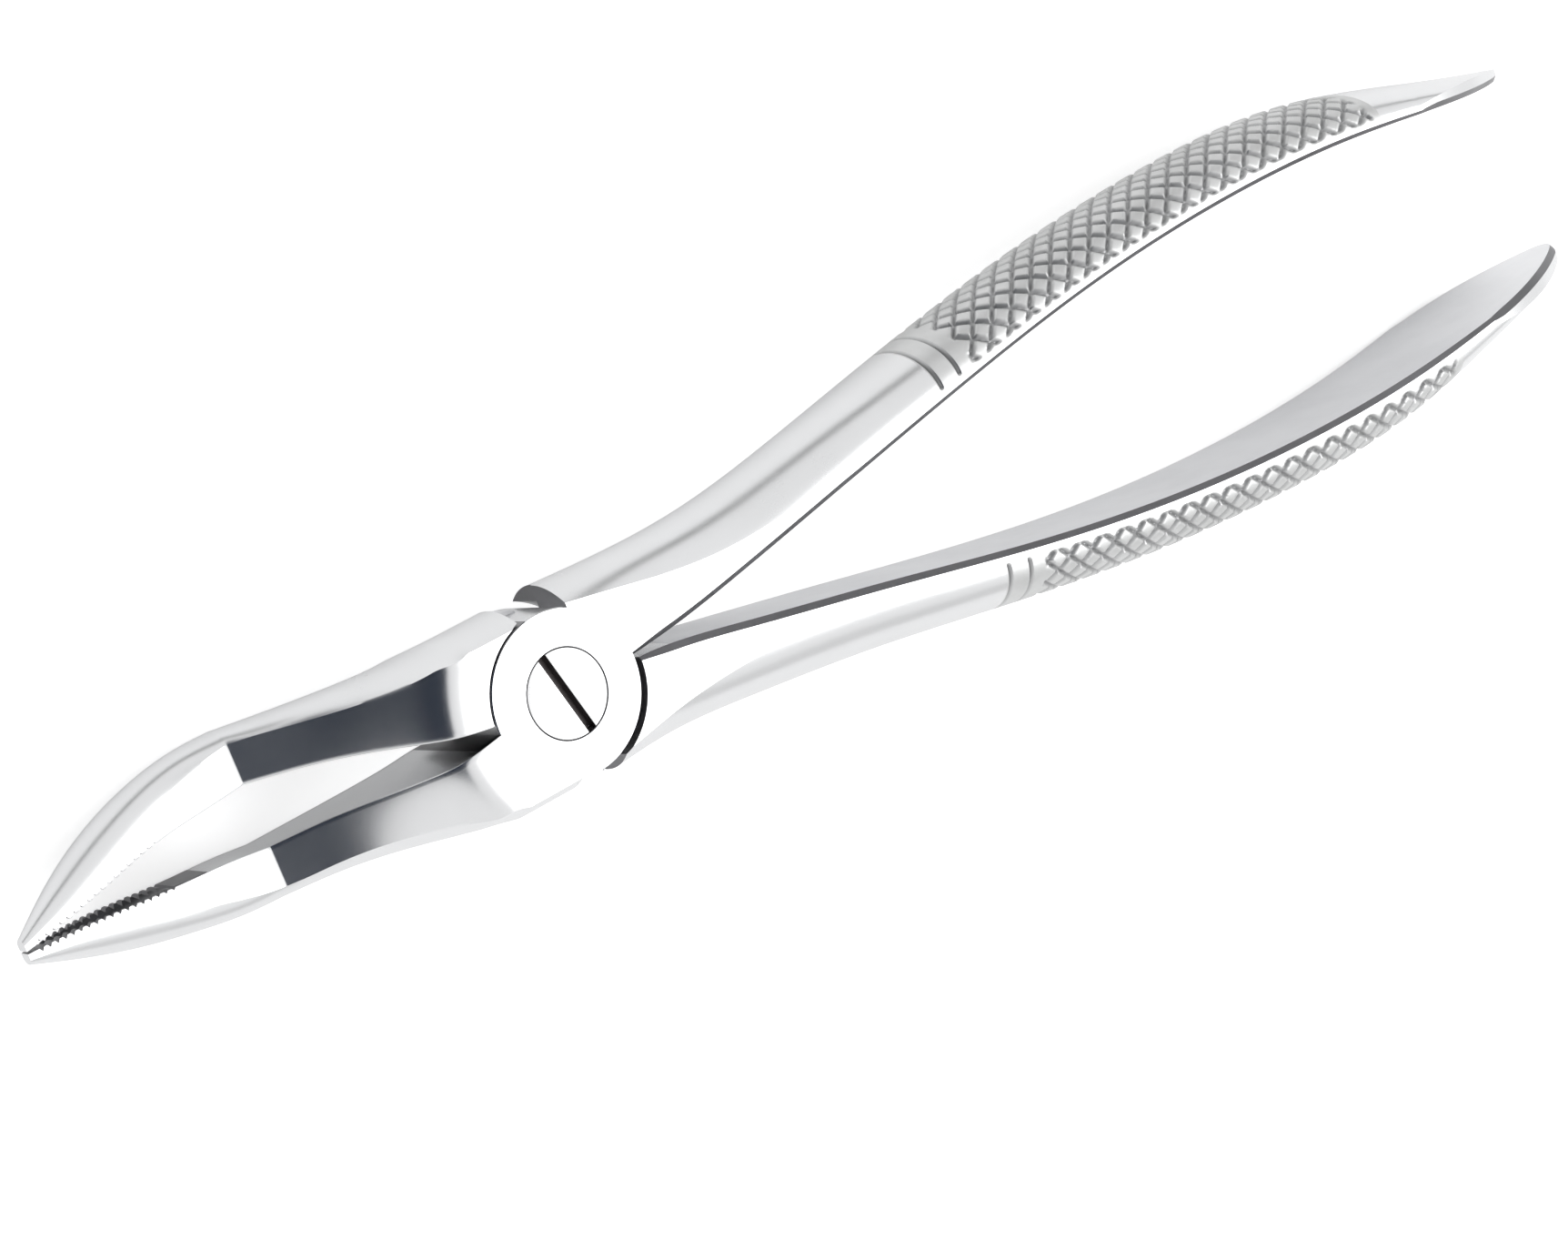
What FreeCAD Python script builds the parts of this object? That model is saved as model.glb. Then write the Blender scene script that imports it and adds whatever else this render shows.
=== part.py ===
import FreeCAD, Part
import math
import os
import Sketcher

# Bayonet extraction forceps for upper roots: two forged halves that cross in a lap joint
# and turn on one slotted screw.
#
# Frame: the hinge axis is Z, the underside of the joint lies in Z = 0, the handles reach
# along +X and the beaks along -X. The front half (upper disc of the joint) has its handle on
# the +Y side and its jaw on the -Y side. The jaws are closed, with the tips just apart.
#
# Each half is drawn about the middle of the joint, with its own disc above that middle, its
# handle on its +Y side and its jaw on its -Y side. The back half is then turned over about X.

SIZES = (
    # lengths of the instrument, from the hinge axis
    ("handle_reach", 131.9),
    ("jaw_reach", 51.6),
    ("jaw_drop", 15.25),        # joint face down to the front of the beak at the bend
    # joint
    ("joint_thickness", 10.0),
    ("joint_radius", 7.75),
    ("joint_half_width", 9.1),
    ("handle_shoulder", 3.2),   # X at which the handle starts, in the layer of its own disc
    ("lap_shoulder", 3.4),      # the same in the layer of the other half's disc
    ("jaw_shoulder", 1.8),      # the same for the jaw, on the other side of the axis
    ("neck_end", 0.8),          # the jaw runs out into the rim of its own disc here
    ("cheek_length", 7.6),      # the jaw stays flat up to here
    ("lap_gap", 0.1),
    ("recess_gap", 0.2),
    ("relief_shift", 0.3),      # the recess is wider towards the handle by this shift
    # handle
    ("handle_neck", 10.0),      # X at which the handle leaves the joint
    ("neck_gap", 0.15),
    ("handle_bow", 12.5),       # largest distance of the inner face from the middle plane
    ("front_grip_depth", 5.3),
    ("back_grip_depth", 5.85),
    ("grip_width", 16.2),
    ("end_round", 18.5),        # length over which the handle narrows to its end
    ("end_radius", 3.0),
    # beak
    ("beak_gap", 2.95),         # inner edge at the bend, from the middle plane
    ("tip_gap", 0.2),
    ("gutter_depth", 2.7),      # radius of the hollow for the root, at its middle
    # screw
    ("head_dia", 8.3),
    ("head_height", 2.4),
    ("shank_dia", 5.0),
    ("head_clearance", 0.05),
    ("shank_clearance", 0.05),
    ("thread_clearance", 0.01),
    ("slot_width", 0.9),
    ("slot_depth", 1.2),
    ("slot_angle", -75.3),
)

# Handle sections past the neck: distance along the handle (share of handle_reach), inner face
# (share of handle_bow), depth (share of the half's grip depth), width (share of grip_width), and
# the height of the flat side band (share of the depth).
HANDLE_SECTIONS = (
    (0.153, 0.165, 1.31, 0.715, 0.42),
    (0.260, 0.39, 1.14, 0.765, 0.21),
    (0.382, 0.655, 1.045, 0.86, 0.18),
    (0.519, 0.887, 1.00, 0.90, 0.27),
    (0.657, 1.00, 0.98, 0.93, 0.30),
    (0.794, 0.975, 0.90, 0.975, 0.30),
    (0.886, 0.875, 0.62, 1.00, 0.30),
    (0.954, 0.79, 0.38, 1.00, 0.30),
    (1.000, 0.74, 0.23, 1.00, 0.30),
)

# Jaw sections: distance along the jaw (share of jaw_reach), inner side (share of beak_gap),
# outer side (share of joint_half_width), front face (share of jaw_drop below the joint face),
# then shares of joint_thickness: thickness, how much thicker the outer side is, and the
# rounding of the outer side.
SHANK_SECTIONS = (
    (0.184, 0.20, 0.955, 0.065, 1.13, 0.00, 0.24),
    (0.233, 0.36, 0.923, 0.223, 1.02, 0.00, 0.32),
    (0.310, 0.63, 0.890, 0.498, 0.85, 0.00, 0.36),
    (0.407, 0.85, 0.885, 0.793, 0.65, 0.00, 0.31),
    (0.494, 1.00, 0.907, 1.000, 0.505, 0.00, 0.25),
)
BEAK_SECTIONS = (
    SHANK_SECTIONS[-1],
    (0.562, 0.865, 0.896, 1.016, 0.48, 0.05, 0.25),
    (0.659, 0.73, 0.810, 1.005, 0.45, 0.12, 0.27),
    (0.775, 0.45, 0.640, 0.911, 0.45, 0.15, 0.27),
    (0.891, 0.17, 0.400, 0.800, 0.37, 0.10, 0.19),
    (1.000, 0.00, 0.130, 0.700, 0.16, 0.00, 0.05),
)
CHEEK_INNER = 0.10      # share of beak_gap
CHEEK_OUTER = 0.985     # share of joint_half_width
CHEEK_ROUND = 0.15      # share of joint_thickness
NECK_OUTER = 0.865      # share of joint_half_width

FREE_LENGTH = 60.0      # longer than any cut needs to be

doc = FreeCAD.newDocument("forceps")


def make_sizes():
    """Spreadsheet with every driving size."""
    sheet = doc.addObject("Spreadsheet::Sheet", "Sizes")
    for row, (name, value) in enumerate(SIZES, start=1):
        sheet.set("A%d" % row, name)
        sheet.set("B%d" % row, str(value))
        sheet.setAlias("B%d" % row, name)
    doc.recompute()
    return sheet


def share(factor, size):
    return "%g * Sizes.%s" % (factor, size)


def origin_plane(body, role):
    return next(item for item in body.Origin.OriginFeatures if item.Role == role)


def new_sketch(body, name, role, offset="0"):
    """Sketch on one of the body's own planes, moved along that plane's normal."""
    sketch = body.newObject("Sketcher::SketchObject", name)
    sketch.AttachmentSupport = (origin_plane(body, role), "")
    sketch.MapMode = "FlatFace"
    sketch.setExpression(".AttachmentOffset.Base.z", offset)
    return sketch


def fix_point(sketch, geometry, end, name, across, up):
    """Ties one end of a line or arc, or a circle's centre, to the sketch's origin."""
    for kind, text in (("DistanceX", across), ("DistanceY", up)):
        label = name + ("_x" if kind == "DistanceX" else "_y")
        place = sketch.getPoint(geometry, end)
        value = place.x if kind == "DistanceX" else place.y
        number = sketch.addConstraint(Sketcher.Constraint(kind, -1, 1, geometry, end, value))
        sketch.renameConstraint(number, label)
        sketch.setExpression("Constraints." + label, text)


def rounded_section(body, name, offset, base, low, high, band, crown, flare="0"):
    """Closed section with a straight base and sides, and an arc opposite the base.

    The base stands at distance `base` from the sketch's Y axis, between the heights `low` and
    `high`; the sides are `band` long and the arc rises by `crown`. A negative band and crown
    lay the section out towards the other side. At the arc the section is taller by `flare`,
    below where that is positive and above where it is negative.
    """
    sketch = new_sketch(body, name, "YZ_Plane", offset)
    point = FreeCAD.Vector
    reach = -1.0 if band.startswith("-") else 1.0
    corners = (point(2 * reach, -2), point(2 * reach, 2), point(4 * reach, 2), point(4 * reach, -2))
    for start, finish in ((0, 1), (1, 2), (3, 0)):
        sketch.addGeometry(Part.LineSegment(corners[start], corners[finish]), False)
    sketch.addGeometry(Part.Arc(corners[2], point(5 * reach, 0), corners[3]), False)
    base_line, high_line, low_line, arc = 0, 1, 2, 3
    arc_ends = (1, 2)
    if sketch.getPoint(arc, 1).y < 0:
        arc_ends = (2, 1)
    sketch.addConstraint(Sketcher.Constraint("Coincident", base_line, 2, high_line, 1))
    sketch.addConstraint(Sketcher.Constraint("Coincident", high_line, 2, arc, arc_ends[0]))
    sketch.addConstraint(Sketcher.Constraint("Coincident", arc, arc_ends[1], low_line, 1))
    sketch.addConstraint(Sketcher.Constraint("Coincident", low_line, 2, base_line, 1))
    fix_point(sketch, base_line, 1, "low", base, low)
    fix_point(sketch, base_line, 2, "high", base, high)
    side_high = "%s - min(0; %s)" % (high, flare)
    side_low = "%s - max(0; %s)" % (low, flare)
    fix_point(sketch, high_line, 2, "side_high", "%s + %s" % (base, band), side_high)
    fix_point(sketch, low_line, 1, "side_low", "%s + %s" % (base, band), side_low)
    half = "(abs((%s) - (%s)) / 2)" % (side_high, side_low)
    radius = sketch.addConstraint(Sketcher.Constraint("Radius", arc, 2.5))
    sketch.renameConstraint(radius, "back")
    sketch.setExpression(
        "Constraints.back", "(%s ^ 2 + (%s) ^ 2) / (2 * abs(%s))" % (half, crown, crown)
    )
    return sketch


def circle_sketch(body, name, offset, diameter, shift="0"):
    """Circle about the hinge axis, or moved by `shift` along X and Y alike."""
    sketch = new_sketch(body, name, "XY_Plane", offset)
    centre = FreeCAD.Vector(0.1, 0.1, 0)
    ring = sketch.addGeometry(Part.Circle(centre, FreeCAD.Vector(0, 0, 1), 3.0), False)
    fix_point(sketch, ring, 3, "centre", shift, shift)
    size = sketch.addConstraint(Sketcher.Constraint("Diameter", ring, 6.0))
    sketch.renameConstraint(size, "size")
    sketch.setExpression("Constraints.size", diameter)
    return sketch


def polygon_sketch(body, name, role, offset, corners):
    """Closed polygon with each corner given as two expressions."""
    sketch = new_sketch(body, name, role, offset)
    count = len(corners)
    rough = [
        FreeCAD.Vector(10 * math.cos(2 * math.pi * (i + 0.5) / count - math.pi),
                       10 * math.sin(2 * math.pi * (i + 0.5) / count - math.pi), 0)
        for i in range(count)
    ]
    for first in range(count):
        sketch.addGeometry(Part.LineSegment(rough[first], rough[(first + 1) % count]), False)
    for first in range(count):
        joined = (first, 2, (first + 1) % count, 1)
        sketch.addConstraint(Sketcher.Constraint("Coincident", *joined))
    for first, (across, up) in enumerate(corners):
        fix_point(sketch, first, 1, "corner_%d" % (first + 1), across, up)
    return sketch


def pad(body, sketch, name, length):
    feature = body.newObject("PartDesign::Pad", name)
    feature.Profile = sketch
    feature.setExpression("Length", length)
    return feature


def pocket(body, sketch, name, length, upwards=False):
    """Cut from the sketch plane, against its normal or, upwards, along it."""
    feature = body.newObject("PartDesign::Pocket", name)
    feature.Profile = sketch
    feature.Reversed = upwards
    feature.setExpression("Length", length)
    return feature


def loft(body, sketches, name):
    feature = body.newObject("PartDesign::AdditiveLoft", name)
    feature.Profile = sketches[0]
    feature.Sections = sketches[1:]
    feature.Ruled = False
    return feature


def add_disc(body):
    """The half's own disc of the lap joint, above the lap plane."""
    sketch = circle_sketch(body, "disc_outline", "Sizes.lap_gap / 2", "2 * Sizes.joint_radius")
    pad(body, sketch, "disc", "(Sizes.joint_thickness - Sizes.lap_gap) / 2")


def add_handle(body, grip_depth):
    """Handle: flat inner face, low side bands and a rounded back, along a bowed line."""
    sketches = []
    thick, half_width, gap = "Sizes.joint_thickness", "Sizes.joint_half_width", "Sizes.neck_gap"
    rows = [
        ("Sizes.handle_shoulder", gap, half_width, thick, 0.80),
        ("Sizes.handle_neck", "2.5 * " + gap, "0.94 * " + half_width, "1.02 * " + thick, 0.68),
    ]
    for along, inner, depth, width, band in HANDLE_SECTIONS:
        rows.append(
            (
                share(along, "handle_reach"),
                share(inner, "handle_bow"),
                share(depth, grip_depth),
                share(width, "grip_width"),
                band,
            )
        )
    for number, (along, inner, depth, width, band) in enumerate(rows, start=1):
        sketches.append(
            rounded_section(
                body,
                "handle_section_%d" % number,
                along,
                inner,
                "-(%s) / 2" % width,
                "(%s) / 2" % width,
                "%g * (%s)" % (band, depth),
                "%g * (%s)" % (1 - band, depth),
            )
        )
    loft(body, sketches, "handle")


def jaw_section(body, name, row, side):
    """One section of the jaw; side is 1 where the jaw steps down, -1 where it steps up."""
    along, inner, outer, drop, thickness, wider, crown = row
    front = "%d * (Sizes.joint_thickness / 2 - %s)" % (side, share(drop, "jaw_drop"))
    back = "%s - %d * (%s)" % (front, side, share(thickness, "joint_thickness"))
    base = "-(Sizes.tip_gap / 2 + %s)" % share(inner, "beak_gap")
    rise = share(crown, "joint_thickness")
    depth = "(%s + %s)" % (share(outer, "joint_half_width"), base)
    low, high = (back, front) if side > 0 else (front, back)
    band = "-(%s - %s)" % (depth, rise)
    flare = share(side * wider, "joint_thickness")
    return rounded_section(body, name, "-(%s)" % along, base, low, high, band, "-(%s)" % rise, flare)


def add_jaw(body, side):
    """Cheek beside the joint, sloping shank, and the beak that runs on from the bend."""
    cheek_row = ("Sizes.cheek_length", CHEEK_INNER, CHEEK_OUTER, 0.0, 1.0, 0.0, CHEEK_ROUND)
    cheek_section = jaw_section(body, "cheek_section", cheek_row, side)
    pad(body, cheek_section, "cheek", "Sizes.cheek_length - Sizes.jaw_shoulder")
    shoulder_row = ("Sizes.jaw_shoulder", CHEEK_INNER, CHEEK_OUTER, 0.0, 1.0, 0.0, CHEEK_ROUND)
    neck_row = ("-Sizes.neck_end", CHEEK_INNER, NECK_OUTER, 0.0, 1.0, 0.0, CHEEK_ROUND)
    neck = [
        jaw_section(body, "shoulder_section", shoulder_row, side),
        jaw_section(body, "neck_section", neck_row, side),
    ]
    loft(body, neck, "neck")
    for name, table in (("shank", SHANK_SECTIONS), ("beak", BEAK_SECTIONS)):
        rows = [(share(row[0], "jaw_reach"),) + tuple(row[1:]) for row in table]
        sketches = [
            jaw_section(body, "%s_section_%d" % (name, number), row, side)
            for number, row in enumerate(rows, start=1)
        ]
        if name == "shank":
            sketches.insert(0, cheek_section)
        loft(body, sketches, name)


def cut_recess(body):
    """Room below the lap plane for the other half's disc, wider towards the handle, and for
    its neck and handle to swing between this half's shoulders."""
    corners = []
    for across in ("-Sizes.jaw_shoulder", "Sizes.lap_shoulder"):
        for up in ("-2 * Sizes.joint_half_width", "2 * Sizes.joint_half_width"):
            corners.append((across, up))
    order = (corners[0], corners[2], corners[3], corners[1])
    swing = polygon_sketch(body, "swing_outline", "XY_Plane", "Sizes.lap_gap / 2", order)
    pocket(body, swing, "swing", "%g" % FREE_LENGTH)
    bore = "2 * (Sizes.joint_radius + Sizes.recess_gap)"
    for name, shift in (("relief", "Sizes.relief_shift"), ("recess", "0")):
        sketch = circle_sketch(body, name + "_outline", "Sizes.lap_gap / 2", bore, shift)
        pocket(body, sketch, name, "%g" % FREE_LENGTH)


def cut_handle_end(body):
    """Narrows the handle end to a leaf: two long arcs that run into a small round tip."""
    sketch = new_sketch(body, "end_outline", "XZ_Plane")
    point = FreeCAD.Vector
    start = "Sizes.handle_reach - Sizes.end_round"
    far = "Sizes.handle_reach + Sizes.end_round"
    half = "Sizes.grip_width / 2"
    tip = "Sizes.end_radius"
    run = "(Sizes.end_round - Sizes.end_radius)"
    long_radius = "((%s ^ 2 + (%s) ^ 2 - %s ^ 2) / (2 * (%s - %s)))" % (run, half, tip, half, tip)
    lean = "(%s / (%s - %s))" % (run, long_radius, tip)
    rise = "((%s - %s) / (%s - %s))" % (long_radius, half, long_radius, tip)
    touch_x = "Sizes.handle_reach - %s + %s * %s" % (tip, tip, lean)
    touch_z = "%s * %s" % (tip, rise)
    # start, then up round the free side and back along the leaf
    frame = (point(108, 15), point(150, 15), point(150, -15), point(108, -15))
    low, low_touch, end, high_touch, high = (
        point(108, -7.5), point(129, -3), point(131, 0), point(129, 3), point(108, 7.5)
    )
    for first, last in ((0, 1), (1, 2), (2, 3)):
        sketch.addGeometry(Part.LineSegment(frame[first], frame[last]), False)
    sketch.addGeometry(Part.LineSegment(frame[3], low), False)
    sketch.addGeometry(Part.Arc(low, point(119, -6.6), low_touch), False)
    sketch.addGeometry(Part.Arc(low_touch, end, high_touch), False)
    sketch.addGeometry(Part.Arc(high_touch, point(119, 6.6), high), False)
    sketch.addGeometry(Part.LineSegment(high, frame[0]), False)
    count = 8
    for first in range(count):
        joined = (first, 2, (first + 1) % count, 1)
        sketch.addConstraint(Sketcher.Constraint("Coincident", *joined))
    wide = "Sizes.grip_width"
    for geometry, name, across, up in (
        (0, "top_near", start, wide),
        (1, "top_far", far, wide),
        (2, "low_far", far, "-" + wide),
        (3, "low_near", start, "-" + wide),
        (4, "leaf_low", start, "-" + half),
        (5, "touch_low", touch_x, "-" + touch_z),
        (6, "touch_high", touch_x, touch_z),
        (7, "leaf_high", start, half),
    ):
        fix_point(sketch, geometry, 1, name, across, up)
    arcs = ((4, "long_low", long_radius), (5, "tip", tip), (6, "long_high", long_radius))
    for geometry, name, size in arcs:
        number = sketch.addConstraint(Sketcher.Constraint("Radius", geometry, 10.0))
        sketch.renameConstraint(number, name)
        sketch.setExpression("Constraints." + name, size)
    feature = pocket(body, sketch, "end_narrowing", "%g" % FREE_LENGTH)
    feature.Midplane = True


def cut_gutter(body, side):
    """Hollow on the beak's inner side that closes round a root."""
    sketch = new_sketch(body, "gutter_outline", "XZ_Plane")
    point = FreeCAD.Vector
    heel, tip, belly = point(-24, -13 * side), point(-51, -6 * side), point(-38, -14 * side)
    line = sketch.addGeometry(Part.LineSegment(heel, tip), False)
    arc = sketch.addGeometry(Part.Arc(heel, belly, tip), False)
    ends = (1, 2)
    if sketch.getPoint(arc, 1).distanceToPoint(heel) > 1e-6:
        ends = (2, 1)
    sketch.addConstraint(Sketcher.Constraint("Coincident", line, 1, arc, ends[0]))
    sketch.addConstraint(Sketcher.Constraint("Coincident", line, 2, arc, ends[1]))
    middle = "%d * (Sizes.joint_thickness / 2 - %%s - %%s)" % side
    heel_height = middle % (share(1.00, "jaw_drop"), share(0.40, "joint_thickness"))
    tip_height = middle % (share(0.70, "jaw_drop"), share(0.22, "joint_thickness"))
    fix_point(sketch, line, 1, "heel", "-0.45 * Sizes.jaw_reach", heel_height)
    fix_point(sketch, line, 2, "tip", "-1.0 * Sizes.jaw_reach", tip_height)
    chord = "sqrt((0.55 * Sizes.jaw_reach) ^ 2 + ((%s) - (%s)) ^ 2)" % (heel_height, tip_height)
    size = sketch.addConstraint(Sketcher.Constraint("Radius", arc, 40.0))
    sketch.renameConstraint(size, "belly")
    sketch.setExpression(
        "Constraints.belly",
        "((%s / 2) ^ 2 + Sizes.gutter_depth ^ 2) / (2 * Sizes.gutter_depth)" % chord,
    )
    groove = body.newObject("PartDesign::Groove", "gutter")
    groove.Profile = sketch
    groove.ReferenceAxis = (sketch, ["Edge1"])
    groove.Angle = 360.0


def cut_screw_hole(body, with_head):
    """Plain bore for the shank, and a counterbore for the head where it sits."""
    clearance = "Sizes.shank_clearance" if with_head else "Sizes.thread_clearance"
    face = "Sizes.joint_thickness / 2"
    bore = circle_sketch(body, "bore_outline", face, "Sizes.shank_dia + 2 * " + clearance)
    pocket(body, bore, "bore", "Sizes.joint_thickness")
    if with_head:
        wide = "Sizes.head_dia + 2 * Sizes.head_clearance"
        seat = circle_sketch(body, "head_seat_outline", face, wide)
        pocket(body, seat, "head_seat", "Sizes.head_height + Sizes.head_clearance")


def make_half(name, side):
    """One forged half; side is 1 for the front half, whose disc lies uppermost."""
    body = doc.addObject("PartDesign::Body", name)
    body.Label = name
    add_disc(body)
    add_handle(body, "front_grip_depth" if side > 0 else "back_grip_depth")
    add_jaw(body, side)
    cut_recess(body)
    cut_handle_end(body)
    cut_gutter(body, side)
    cut_screw_hole(body, side > 0)
    turn = 0.0 if side > 0 else 180.0
    body.Placement = FreeCAD.Placement(
        FreeCAD.Vector(0, 0, 0), FreeCAD.Rotation(FreeCAD.Vector(1, 0, 0), turn)
    )
    body.setExpression(".Placement.Base.z", "Sizes.joint_thickness / 2")
    return body


def make_screw():
    """Slotted screw: head flush with the front half, shank ending flush with the back half."""
    body = doc.addObject("PartDesign::Body", "joint_screw")
    body.Label = "joint_screw"
    low = circle_sketch(body, "shank_outline", "0", "Sizes.shank_dia")
    pad(body, low, "shank", "Sizes.joint_thickness - Sizes.head_height / 2")
    under_head = "Sizes.joint_thickness - Sizes.head_height"
    head = circle_sketch(body, "head_outline", under_head, "Sizes.head_dia")
    pad(body, head, "head", "Sizes.head_height")

    corners = [
        (share(across, "head_dia"), share(up, "slot_width"))
        for across, up in ((-1, -0.5), (1, -0.5), (1, 0.5), (-1, 0.5))
    ]
    slot = polygon_sketch(body, "slot_outline", "XY_Plane", "Sizes.joint_thickness", corners)
    slot.setExpression(".AttachmentOffset.Rotation.Angle", "Sizes.slot_angle")
    pocket(body, slot, "slot", "Sizes.slot_depth")
    return body


def check_document():
    """Stops the build where a feature failed or a solid is not sound."""
    for item in doc.Objects:
        if "Invalid" in item.State or "Error" in item.State:
            raise RuntimeError("%s did not compute: %s" % (item.Name, item.State))
        if item.TypeId.startswith("PartDesign::") and not item.Shape.isValid():
            raise RuntimeError("%s is not a sound shape" % item.Name)
    for body in bodies:
        shape = body.Shape
        if shape.isNull() or not shape.isValid() or len(shape.Solids) != 1:
            raise RuntimeError("%s is not one sound solid" % body.Label)


make_sizes()
bodies = [make_half("front_half", 1), make_half("back_half", -1), make_screw()]
doc.recompute()
check_document()

os.makedirs("parts", exist_ok=True)
for body in bodies:
    body.Shape.exportStep("parts/%s.step" % body.Label)
    box = body.Shape.BoundBox
    print(
        "%s  %.1f mm3  X %.2f %.2f  Y %.2f %.2f  Z %.2f %.2f"
        % (body.Label, body.Shape.Volume, box.XMin, box.XMax, box.YMin, box.YMax, box.ZMin, box.ZMax)
    )
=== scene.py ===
import bpy
import math
import numpy as np
from mathutils import Matrix, Vector
from mathutils.kdtree import KDTree


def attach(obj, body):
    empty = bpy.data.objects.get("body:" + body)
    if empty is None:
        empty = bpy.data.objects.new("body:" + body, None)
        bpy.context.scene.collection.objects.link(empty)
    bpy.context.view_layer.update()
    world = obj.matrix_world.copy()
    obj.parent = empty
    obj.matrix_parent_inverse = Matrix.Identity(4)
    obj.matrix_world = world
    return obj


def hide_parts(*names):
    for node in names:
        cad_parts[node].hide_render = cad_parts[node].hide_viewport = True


# Bayonet extraction forceps. Lengths are in millimetres until a mesh is made; the frame is the
# part's own: hinge axis on Z, underside of the joint at Z = 0, handles along +X.

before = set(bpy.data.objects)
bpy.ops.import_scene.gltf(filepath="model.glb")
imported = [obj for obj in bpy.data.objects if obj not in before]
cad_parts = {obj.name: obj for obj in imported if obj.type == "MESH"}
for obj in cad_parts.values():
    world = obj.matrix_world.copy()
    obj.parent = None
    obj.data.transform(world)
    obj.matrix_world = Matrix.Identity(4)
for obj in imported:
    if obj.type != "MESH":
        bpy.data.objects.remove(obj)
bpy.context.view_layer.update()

MM = 0.001

# joint
THICK = 10.0
MID = THICK / 2
DISC_RADIUS = 7.75
HALF_WIDTH = 9.1
LAP_GAP = 0.1
RECESS_GAP = 0.2
RELIEF_SHIFT = 0.3
HANDLE_START = 3.2
LAP_SHOULDER = 3.4
JAW_START = 1.8
JAW_ROOT = 0.8          # the jaw's solid begins this far past the axis, inside the disc

# handle
REACH = 131.9
BOW = 12.5
GRIP_WIDTH = 16.2
GRIP_DEPTH = {"front_half": 5.3, "back_half": 5.85}
END_ROUND = 18.5
END_RADIUS = 3.0
NECK_GAP = 0.15
# stations past the neck, as shares: place of the reach, inner face of the bow, depth of the grip
# depth, width of the grip width, and the plain side band of the depth
HANDLE_STATIONS = (
    (0.153, 0.165, 1.31, 0.715, 0.42),
    (0.260, 0.39, 1.14, 0.765, 0.21),
    (0.382, 0.655, 1.045, 0.86, 0.18),
    (0.519, 0.887, 1.00, 0.90, 0.27),
    (0.657, 1.00, 0.98, 0.93, 0.30),
    (0.794, 0.975, 0.90, 0.975, 0.30),
    (0.886, 0.875, 0.62, 1.00, 0.30),
    (0.954, 0.79, 0.38, 1.00, 0.30),
    (1.000, 0.74, 0.23, 1.00, 0.30),
)

# cross cuts and rings of the grip
CUT_START = 52.0
CUT_END = 108.5
CUT_PITCH = 1.95
CUT_DEPTH = 0.36
CUT_HALF_WIDTH = 0.36
RINGS = (48.0, 50.4)
RING_WIDTH = 0.5
RING_DEPTH = 0.36
RIM_SHARE = 0.18        # plain rim beside the cross cuts, as a share of the handle's depth
BEVEL = 0.6             # bevel between inner face and rim
DISH = 0.22             # hollow of the grip's inner face
BACK_STEPS = 121
GRIP_START = 24.0       # the neck's section turns into the grip's from here
GRIP_BLEND = 18.0       # over this length

# jaw
JAW_REACH = 51.6
JAW_DROP = 15.25
CHEEK_END = 7.6
CHEEK_OUTER = 0.985     # outer side of the cheek, as a share of the half width
CHEEK_ROOT = 0.865      # the same, where the cheek meets the disc
BEAK_GAP = 2.95
TIP_GAP = 0.2
BEND = 0.494 * JAW_REACH
ROLL_INNER = 4.0        # the flat runs this much further out at the inner side
ROLL_SKEW = 3.4         # and this much less, from there, at the outer side
ROLL_SOFT = 0.35        # softness of the edge between flat and slope
ROLL_FADE = (8.0, 14.0)  # where the roll-off's slant starts to fade, and over what length
# stations past the cheek: place of the reach, inner side of the beak gap, outer side of the half
# width, drop of the front; thickness, flare and rounding are shares of the joint's thickness
JAW_STATIONS = (
    (0.184, 0.20, 0.955, 0.065, 1.13, 0.00, 0.24),
    (0.233, 0.36, 0.923, 0.223, 1.02, 0.00, 0.32),
    (0.310, 0.63, 0.890, 0.498, 0.85, 0.00, 0.36),
    (0.407, 0.85, 0.885, 0.793, 0.65, 0.00, 0.31),
    (0.494, 1.00, 0.907, 1.000, 0.505, 0.00, 0.25),
    (0.562, 0.865, 0.896, 1.016, 0.48, 0.05, 0.25),
    (0.659, 0.73, 0.810, 1.005, 0.45, 0.12, 0.27),
    (0.775, 0.45, 0.640, 0.911, 0.45, 0.15, 0.27),
    (0.891, 0.17, 0.400, 0.800, 0.37, 0.10, 0.19),
    (1.000, 0.00, 0.130, 0.700, 0.16, 0.00, 0.05),
)
LOWEST = -11.04         # underside of the beaks
GUTTER_DEPTH = 2.2
CRISP_SHARE = 0.55      # how much of the outer edge's rounding the slope loses
CRISP_START = (7.0, 4.0)  # where that begins, and over what length
CRISP_END = (23.0, 13.0)
# ends of the gutter's axis: shares of the reach, of the drop and of the joint's thickness
GUTTER_HEEL = (0.45, 1.00, 0.45)
GUTTER_TIP = (1.00, 0.70, 0.22)
BEAK_SHADE_START = 31.8  # the beak's inner side is painted near black, as painted shade, from here to the tip
TOOTH_PITCH = 0.86
TOOTH_DEPTH = 0.38
TOOTH_START = 35.5
TOOTH_END = 50.6

# screw
HEAD_RADIUS = 4.15
HEAD_HEIGHT = 2.4
SHANK_RADIUS = 2.5
SLOT_WIDTH = 0.9
SLOT_DEPTH = 1.2
SLOT_ANGLE = math.radians(-75.3)

# finishes of a half, in the order of its material slots; the last is a near-black steel that paints shade
HALF_FINISHES = ("polished_steel", "satin_steel", "cross_cut_steel", "machined_steel", "painted_shade_steel")
POLISHED, SATIN, CROSS_CUT, MACHINED, PAINTED_SHADE = range(len(HALF_FINISHES))

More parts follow.
